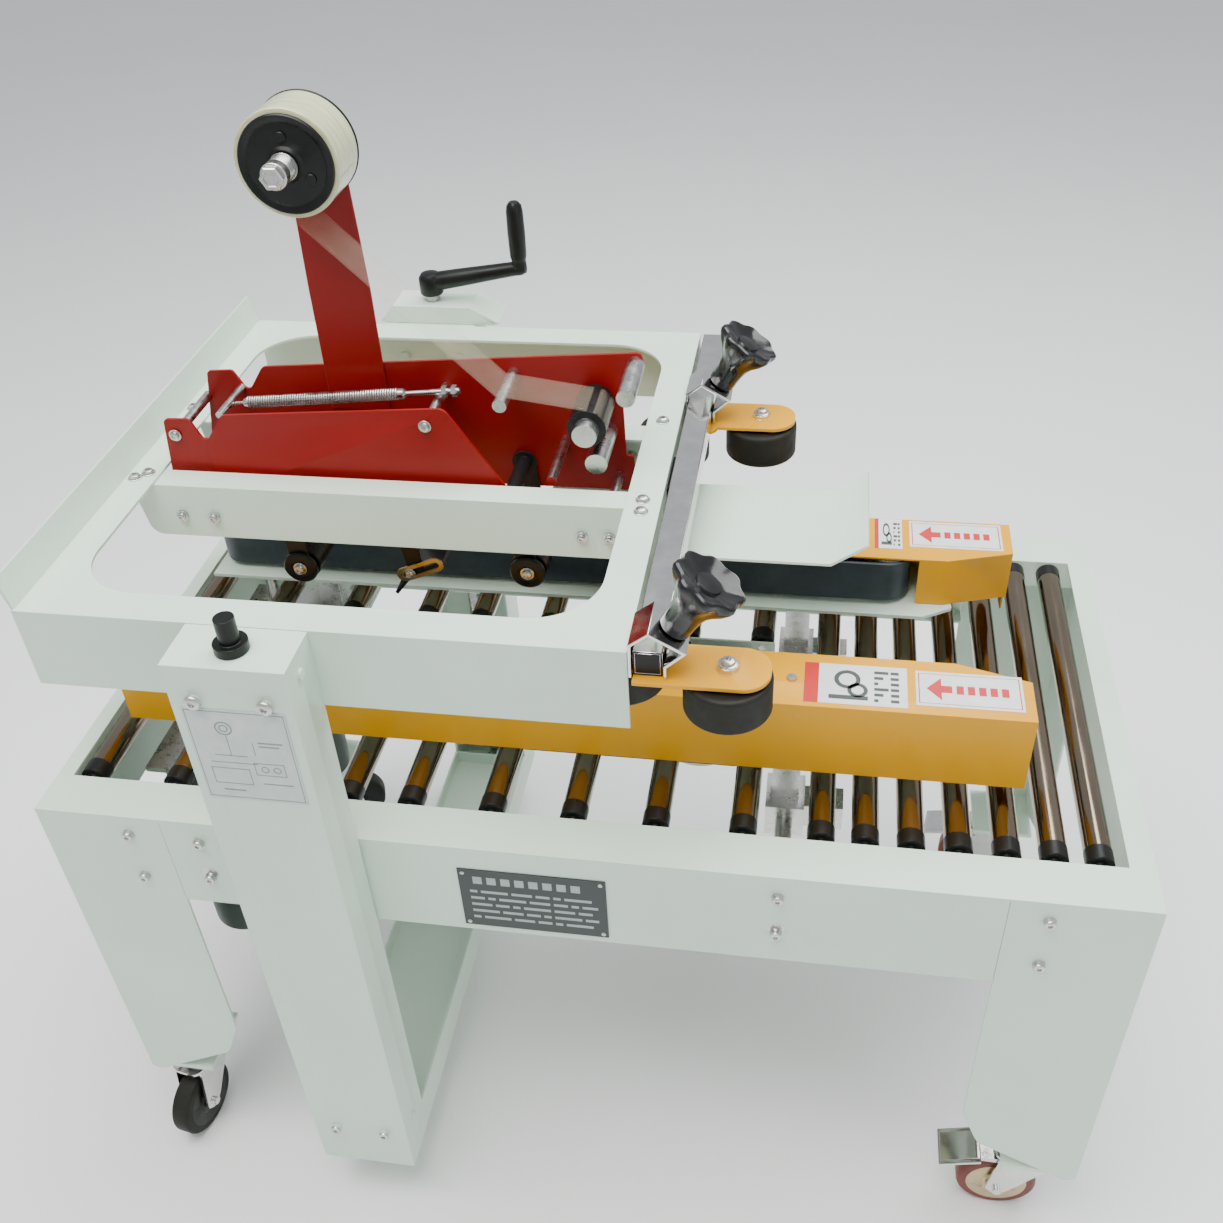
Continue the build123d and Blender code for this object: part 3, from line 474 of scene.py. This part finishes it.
remat("tape_head_plates", plates, [RED, ZINC, BLACK], 32, 0.0006)
remat("tape_arm", lambda c, n: 0 if c.y > 0.0345 else 1, [RED, ZINC], 32, 0.0008)
remat("lower_head", lambda c, n: 0 if abs(c.y) > 0.0375 else 1, [ARMS, ZINC], 32, 0)
for arm in ("front_arm", "rear_arm"):
    remat(arm, lambda c, n: 1 if abs(c.y) < 0.0312 and c.z < H + 0.18 else 0, [ARMS, BLACK], 32, 0.0004)
remat("knife_arm", const(0), [ARMS], 32, 0.0004)
for arm, rx_, rz_, body in (("front", -0.074, 0.147, "front_arm_body"), ("rear", -0.324, 0.136, "rear_arm_body")):
    bm = bmesh.new()
    # end caps, axle bolt and washer on the near side, knurled sleeve between the plates
    for s in (-1, 1):
        lathe(bm, (rx_, s * 0.0350, H + rz_), (0, s, 0), [(0, 0), (0.0172, 0), (0.0188, 0.0012), (0.0188, 0.0042), (0.0170, 0.0058),
                                                        (0.0100, 0.0064), (0.0080, 0.0052), (0, 0.0052)], 48, 0)
        hexbolt(bm, (rx_, s * 0.0402, H + rz_), (0, s, 0), 0.0055, 0.004, 1)
    for k in range(9):
        y = -0.028 + 0.007 * k
        lathe(bm, (rx_, y - 0.0022, H + rz_), (0, 1, 0), [(0.0186, 0), (0.0194, 0.0007), (0.0194, 0.0037), (0.0186, 0.0044)], 48, 0)
    obj(arm + "_roller_skin", bm, [BLACK, ZINC], body)
# tan slotted link on the knife arm
bm = bmesh.new()


def slotted(bm, a, b, y, w, t, mat=0):
    a, b = Vector(a), Vector(b)
    d = (b - a).normalized()
    nrm = Vector((-d.z, 0, d.x))

    def loop(r, k=10):
        out = []
        for c, s0 in ((b, -1), (a, 1)):
            for i in range(k + 1):
                q = math.pi * i / k
                out.append(c + d * (r * math.sin(q) * -s0) + nrm * (r * math.cos(q) * -s0))
        return out
    o1, o2 = loop(w), loop(w * 0.45)
    n = len(o1)
    V = [[bm.verts.new(p + Vector((0, yy, 0))) for p in lp] for lp in (o1, o2) for yy in (y, y - t)]
    for i in range(n):
        j = (i + 1) % n
        for p, q in ((V[0], V[1]), (V[3], V[2]), (V[2], V[0]), (V[1], V[3])):
            bm.faces.new((p[i], p[j], q[j], q[i])).material_index = mat


slotted(bm, (-0.212, 0, H + 0.128), (-0.176, 0, H + 0.143), -0.0285, 0.0085, 0.002)
hexbolt(bm, (-0.205, -0.0306, H + 0.131), (0, -1, 0), 0.0042, 0.003, 1)
obj("knife_link", bm, [BRASS, ZINC], "knife_arm_body")
remat("lower_tape_roll", const(0), [TAPE], 32, 0)

# ------------------------------------------------------------------ tape roll
rx, rz = -0.255, H + 0.563
bm = bmesh.new()
lathe(bm, (rx, 0, rz), (0, -1, 0), [(0.0385, -0.0248), (0.0470, -0.0248), (0.0478, -0.0240), (0.0478, 0.0240), (0.0470, 0.0248),
                                    (0.0385, 0.0248), (0.0385, -0.0248)], 96, 0)
# core, the two black clamping discs and the hub
lathe(bm, (rx, 0, rz), (0, -1, 0), [(0.0379, -0.0252), (0.0384, -0.0252), (0.0384, 0.0252), (0.0379, 0.0252), (0.0379, -0.0252)], 96, 2)
lathe(bm, (rx, 0, rz), (0, -1, 0), [(0.0084, 0.0296), (0.0140, 0.0300), (0.0150, 0.0284), (0.0165, 0.0272), (0.0360, 0.0262),
                                    (0.0385, 0.0280), (0.0425, 0.0282), (0.0436, 0.0270), (0.0436, 0.0252), (0.0425, 0.0249),
                                    (0.0380, 0.0249), (0.0380, -0.0249), (0.0478, -0.0249), (0.0484, -0.0256), (0.0484, -0.0270),
                                    (0.0476, -0.0277), (0.0140, -0.0279), (0.0120, -0.0305), (0.0084, -0.0305)], 96, 1)
roll = obj("tape_roll_skin", bm, [TAPE, BLACK, BRASS], "tape_roll_body")
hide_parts("tape_roll")
bm = bmesh.new()
for k in range(3):
    a = math.radians(90 + 120 * k)
    p = Vector((rx + 0.024 * math.cos(a), -0.0262, rz + 0.024 * math.sin(a)))
    lathe(bm, p, (0, -1, 0), [(0, 0), (0.005, 0), (0.005, 0.002), (0.0042, 0.0026), (0, 0.0026)], 20, 0)
obj("tape_hub_lugs", bm, [BLACK], "tape_roll_body")
bm = bmesh.new()
# spindle spring, washer and hexagon nut
coil(bm, (rx, -0.0322, rz), (rx, -0.0460, rz), 0.0106, 0.0014, 4.5, 0)
lathe(bm, (rx, -0.0572, rz), (0, -1, 0), [(0, 0), (0.0104, 0), (0.0110, 0.0010), (0.0110, 0.0046), (0.0098, 0.0056), (0.0072, 0.0056), (0.0066, 0.0046), (0, 0.0046)], 6, 0)
lathe(bm, (rx, -0.0312, rz), (0, -1, 0), [(0.0083, 0), (0.0125, 0), (0.0125, 0.0010), (0.0083, 0.0010), (0.0083, 0)], 36, 0)
obj("spindle_spring", bm, [ZINC], "head")

# ------------------------------------------------------------------ main spring
bm = bmesh.new()
sa, sb = Vector((-0.362, 0.008, H + 0.3085)), Vector((-0.200, 0.008, H + 0.3245))
coil(bm, sa, sb, 0.0052, 0.00105, 62, 0, 14, 6)
d = (sb - sa).normalized()
lathe(bm, sb, d, [(0, 0), (0.0055, 0), (0.0055, 0.006), (0.0026, 0.008), (0.0026, 0.034), (0, 0.034)], 20, 0)
lathe(bm, sa, -d, [(0, 0), (0.0050, 0), (0.0040, 0.004), (0.0015, 0.006), (0.0015, 0.014), (0, 0.014)], 20, 0)
# long hook on the outfeed end, adjusting eye, bracket and locknuts on the other
lathe(bm, Vector((-0.3745, 0.008, H + 0.3072)), Vector((-0.026, -0.008, -0.012)), [(0, 0), (0.0014, 0), (0.0014, 0.024), (0, 0.024)], 10, 0)
lathe(bm, sb + d * 0.034, d, [(0.0014, 0), (0.0030, 0), (0.0030, 0.030), (0, 0.030)], 14, 0)
for k in (0.046, 0.056):
    lathe(bm, sb + d * k, d, [(0.003, 0), (0.0060, 0), (0.0060, 0.005), (0.003, 0.005)], 6, 0)
spring = obj("main_spring_skin", bm, [ZINC], "head")
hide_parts("main_spring")

# ------------------------------------------------------------------ knobs
for side, y in (("near", -0.272), ("far", 0.148)):
    ka = math.radians(59)
    ax = Vector((math.cos(ka), 0, math.sin(ka)))
    base = Vector((0.1072, y, H + 0.2723)) - ax * 0.009
    bm = bmesh.new()

    def lobes(a, r, h):
        if r < 0.0185 or h < 0.040:
            return r
        return r * (1.0 + 0.062 * min(1.0, (r - 0.0185) / 0.008) * math.cos(8 * a))
    lathe(bm, base, ax, [(0, 0), (0.005, 0), (0.005, 0.012)], 28, 1)
    lathe(bm, base, ax, [(0.005, 0.0118), (0.0128, 0.0120), (0.0140, 0.0138), (0.0142, 0.0250), (0.0150, 0.0330),
                         (0.0172, 0.0410), (0.0215, 0.0490), (0.0268, 0.0570), (0.0302, 0.0635), (0.0312, 0.0670),
                         (0.0304, 0.0700), (0.0282, 0.0712), (0.0225, 0.0692), (0.0150, 0.0664), (0.0120, 0.0660),
                         (0.0112, 0.0676), (0.0060, 0.0684), (0, 0.0686)], 128, 0, lobes)
    k = obj("press_knob_%s_skin" % side, bm, [KNOB, ZINC], "press_knob_%s_body" % side)
    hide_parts("press_knob_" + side)
    # caps on the wheel bolts
    bm = bmesh.new()
    yo, yi = (-0.272, -0.246) if side == "near" else (0.148, 0.130)
    for x, yy in ((0.153, yo), (0.060, yi)):
        hexbolt(bm, (x, yy, H + 0.2406), (0, 0, 1), 0.0062, 0.0035, 0)
    obj("press_bolts_" + side, bm, [ZINC], "press_slider_" + side)

# ------------------------------------------------------------------ hardware
bm = bmesh.new()
for s in (-1, 1):
    for x in (-0.449, 0.449):
        for v in (-0.025, -0.088):
            hexbolt(bm, (x, s * 0.2925, H + v), (0, s, 0), 0.0056, 0.003, 0, False)
    for x in (-0.374, 0.204):
        for v in (-0.028, -0.080):
            hexbolt(bm, (x, s * 0.2925, H + v), (0, s, 0), 0.0056, 0.003, 0, False)
obj("bed_bolts", bm, [ZINC], "base")
bm = bmesh.new()
for s in (-1, 1):
    for dx in (-0.032, 0.032):
        hexbolt(bm, (-0.256 + dx, s * 0.350, H + 0.225), (0, s, 0), 0.0074, 0.004, 0, False)
        hexbolt(bm, (-0.256 + dx * 0.9, s * 0.350, H - 0.437), (0, s, 0), 0.0058, 0.0034, 0, False)
for x, y in ((0.054, 0.084), (0.054, -0.067), (0.055, -0.087), (-0.462, -0.072), (-0.462, 0.072), (-0.452, -0.062)):
    hexbolt(bm, (x, y, H + 0.2620), (0, 0, 1), 0.0052, 0.0034, 0)
for x, z in ((-0.417, 0.225), (-0.383, 0.225), (-0.005, 0.225), (0.022, 0.225)):
    hexbolt(bm, (x, -0.0810, H + z), (0, -1, 0), 0.0045, 0.003, 0)
for x, z in ((-0.423, 0.296), (-0.160, 0.318), (-0.085, 0.236), (-0.330, 0.240)):
    hexbolt(bm, (x, -0.0420, H + z), (0, -1, 0), 0.0048, 0.003, 0)
obj("head_bolts", bm, [ZINC], "head")


def printed(name, o, u, v, n, w, h, body, items, mats, base_t=0.0005):
    """A printed plate: base rectangle with thin marks, each (mat, [(a, b), ...]) in 0..1 units."""
    o, u, v, n = Vector(o), Vector(u), Vector(v), Vector(n)
    bm = bmesh.new()
    chip(bm, [o, o + u * w, o + u * w + v * h, o + v * h], n, base_t, 0)
    for m, pts in items:
        chip(bm, [o + u * w * a + v * h * b + n * (base_t * 0.8) for a, b in pts], n, 0.00025, m)
    return obj(name, bm, mats, body, autos=0)


def bar(m, x0, y0, x1, y1):
    return (m, [(x0, y0), (x1, y0), (x1, y1), (x0, y1)])


# name plate on the bed rail: rows of plain bars, no lettering
items = [bar(1, 0.10 + 0.095 * k, 0.76, 0.10 + 0.095 * k + 0.062, 0.88) for k in range(8)]
for r in range(5):
    y = 0.60 - r * 0.115
    x = 0.07
    k = 0
    while x < 0.92:
        wd = 0.05 + 0.045 * ((k * 7 + r * 5) % 4)
        items.append(bar(1, x, y, min(x + wd, 0.94), y + 0.042))
        x += wd + 0.025
        k += 1
plate = printed("rail_plate", (-0.107, -0.2892, H - 0.1125), (1, 0, 0), (0, 0, 1), (0, -1, 0), 0.147, 0.084, "base",
                items, [PLATE_DK, INK_LT], 0.0009)
bm = bmesh.new()
for x in (-0.102, 0.035):
    for z in (-0.1075, -0.034):
        lathe(bm, (x, -0.2900, H + z), (0, -1, 0), [(0, 0), (0.0024, 0), (0.0022, 0.0009), (0.0012, 0.0015), (0, 0.0016)], 16, 0)
obj("rail_plate_rivets", bm, [ZINC], "base")

# diagram label on the column: plain line sketch
items = []


def frame_rect(m, x0, y0, x1, y1, t=0.008):
    return [bar(m, x0, y0, x1, y0 + t), bar(m, x0, y1 - t, x1, y1), bar(m, x0, y0, x0 + t, y1), bar(m, x1 - t, y0, x1, y1)]


def ring_marks(m, cx, cy, r, t, asp, seg=20):
    out = []
    for k in range(seg):
        a, b = 2 * math.pi * k / seg, 2 * math.pi * (k + 1) / seg
        out.append((m, [(cx + r * math.cos(a), cy + r * asp * math.sin(a)), (cx + r * math.cos(b), cy + r * asp * math.sin(b)),
                        (cx + (r - t) * math.cos(b), cy + (r - t) * asp * math.sin(b)),
                        (cx + (r - t) * math.cos(a), cy + (r - t) * asp * math.sin(a))]))
    return out


items += frame_rect(1, 0.02, 0.02, 0.98, 0.98, 0.007)
items += ring_marks(1, 0.36, 0.80, 0.085, 0.014, 0.85)
items += ring_marks(1, 0.36, 0.80, 0.045, 0.012, 0.85)
items += frame_rect(1, 0.12, 0.18, 0.50, 0.36, 0.007) + frame_rect(1, 0.56, 0.30, 0.86, 0.44, 0.007)
items += [bar(1, 0.36, 0.50, 0.367, 0.72), bar(1, 0.20, 0.50, 0.52, 0.507), bar(1, 0.60, 0.52, 0.607, 0.66), bar(1, 0.14, 0.42, 0.60, 0.427),
          bar(1, 0.66, 0.66, 0.90, 0.675), bar(1, 0.66, 0.62, 0.86, 0.635), bar(1, 0.18, 0.10, 0.40, 0.115), bar(1, 0.60, 0.20, 0.90, 0.212)]
items += ring_marks(1, 0.66, 0.37, 0.04, 0.010, 0.85) + ring_marks(1, 0.78, 0.37, 0.04, 0.010, 0.85)
printed("column_sheet", (-0.303, -0.3472, H + 0.108), (1, 0, 0), (0, 0, 1), (0, -1, 0), 0.093, 0.108, "head", items, [STICKER2, INK_GY], 0.0004)

for side, s in (("near", -1), ("far", 1)):
    # arrow label and pictogram label on each cover, read from the near side
    body = "belt_" + side
    y0 = -0.151 if s < 0 else 0.110
    arrow = [(1, [(0.10, 0.5), (0.24, 0.82), (0.24, 0.60), (0.34, 0.60), (0.34, 0.40), (0.24, 0.40), (0.24, 0.18)])]
    arrow += [bar(1, 0.38 + 0.105 * k, 0.38, 0.38 + 0.105 * k + 0.068, 0.62) for k in range(5)]
    arrow += frame_rect(1, 0.025, 0.07, 0.975, 0.93, 0.010)
    printed("arrow_sheet_" + side, (0.322, y0, H + 0.1021), (1, 0, 0), (0, 1, 0), (0, 0, 1), 0.100, 0.050, body,
            arrow, [STICKER, INK_RED], 0.0003)
    pict = [bar(1, 0.0, 0.0, 0.14, 1.0), bar(2, 0.24, 0.12, 0.62, 0.22)]
    pict += ring_marks(2, 0.42, 0.62, 0.13, 0.045, 1.8) + ring_marks(2, 0.52, 0.36, 0.10, 0.04, 1.8)
    pict += [bar(2, 0.68, 0.10 + 0.14 * k, 0.72 + 0.05 * (k % 3), 0.17 + 0.14 * k) for k in range(6)]
    pict += [bar(2, 0.84, 0.10 + 0.14 * k, 0.92, 0.17 + 0.14 * k) for k in range(6)]
    w, x0 = (0.098, 0.216) if s < 0 else (0.030, 0.284)
    printed("pictogram_sheet_" + side, (x0, y0 - 0.006, H + 0.1021), (1, 0, 0), (0, 1, 0), (0, 0, 1), w, 0.058, body,
            pict, [STICKER, INK_RED, INK_DK], 0.0003)

# ------------------------------------------------------------------ tape web
def ribbon(name, pts, y0, y1, mat, body):
    bm = bmesh.new()
    rows = []
    fine = []
    for (a, b) in zip(pts, pts[1:]):
        for k in range(8):
            t = k / 8
            fine.append((a[0] + (b[0] - a[0]) * t, a[1] + (b[1] - a[1]) * t))
    fine.append(pts[-1])
    for x, z in fine:
        rows.append([bm.verts.new((x, y0 + (y1 - y0) * j / 6, z)) for j in range(7)])
    for a, b in zip(rows, rows[1:]):
        for j in range(6):
            bm.faces.new((a[j], a[j + 1], b[j + 1], b[j]))
    o = obj(name, bm, [mat], body, autos=60)
    sol = o.modifiers.new("film", "SOLIDIFY")
    sol.thickness = 0.0002
    return o


ribbon("tape_web", [(-0.262, H + 0.5148), (-0.092, H + 0.3435), (-0.083, H + 0.3425), (-0.008, H + 0.3318), (0.006, H + 0.3288),
                    (0.0135, H + 0.319), (0.0145, H + 0.311)], -0.024, 0.024, FILM, "head")

# ------------------------------------------------------------------ stage
bm = bmesh.new()
bmesh.ops.create_grid(bm, x_segments=2, y_segments=2, size=14)
me = bpy.data.meshes.new("floor")
bm.to_mesh(me)
bm.free()
floor = bpy.data.objects.new("floor", me)
bpy.context.scene.collection.objects.link(floor)
fm, nt, b, co = tree("pale_floor")
nt.links.new(ramp(nt, noise(nt, co, 1.2, 3), [(0.3, (0.93, 0.93, 0.93, 1)), (0.7, (0.96, 0.96, 0.96, 1))]), b.inputs["Base Color"])
b.inputs["Roughness"].default_value = 0.75
me.materials.append(fm)
floor.location.z = 0.0

w = bpy.data.worlds.new("studio")
bpy.context.scene.world = w
w.use_nodes = True
w.node_tree.nodes["Background"].inputs[0].default_value = (0.93, 0.96, 1.0, 1)
w.node_tree.nodes["Background"].inputs[1].default_value = 0.62


def area(name, loc, target, size, power, col=(1, 1, 1)):
    l = bpy.data.lights.new(name, "AREA")
    l.shape = "RECTANGLE"
    l.size, l.size_y = size
    l.energy = power
    l.color = col
    o = bpy.data.objects.new(name, l)
    o.location = loc
    o.rotation_euler = (Vector(target) - Vector(loc)).to_track_quat("-Z", "Y").to_euler()
    bpy.context.scene.collection.objects.link(o)


area("key", (-0.6, -0.9, 3.3), (0, 0, 0.6), (2.2, 1.4), 98, (1, 0.99, 0.95))
area("top", (0.6, 0.7, 3.1), (0, 0, 0.6), (2.0, 2.4), 104, (0.98, 1, 0.99))
area("fill", (2.6, -1.8, 1.6), (0, 0, 0.5), (1.5, 1.5), 12, (0.94, 0.97, 1))

# ------------------------------------------------------------------ camera
cam = bpy.data.cameras.new("photo_view")
cam.sensor_width = 36.0
cam.lens = 36.0 * 1276.7 / 1223.0
cam.clip_start = 0.05
co_ = bpy.data.objects.new("photo_view", cam)
yaw, pitch, roll_ = -0.1924, 0.6617, -0.0563
fwd = Vector((math.sin(yaw) * math.cos(pitch), math.cos(yaw) * math.cos(pitch), -math.sin(pitch)))
right = Vector((math.cos(yaw), -math.sin(yaw), 0))
up = right.cross(fwd)
if up.z < 0:
    up = -up
r2 = math.cos(roll_) * right + math.sin(roll_) * up
u2 = -math.sin(roll_) * right + math.cos(roll_) * up
m = Matrix((r2, u2, -fwd)).transposed().to_4x4()
m.translation = Vector((0.21415, -1.0756, 1.5053))
co_.matrix_world = m
bpy.context.scene.collection.objects.link(co_)
bpy.context.scene.camera = co_
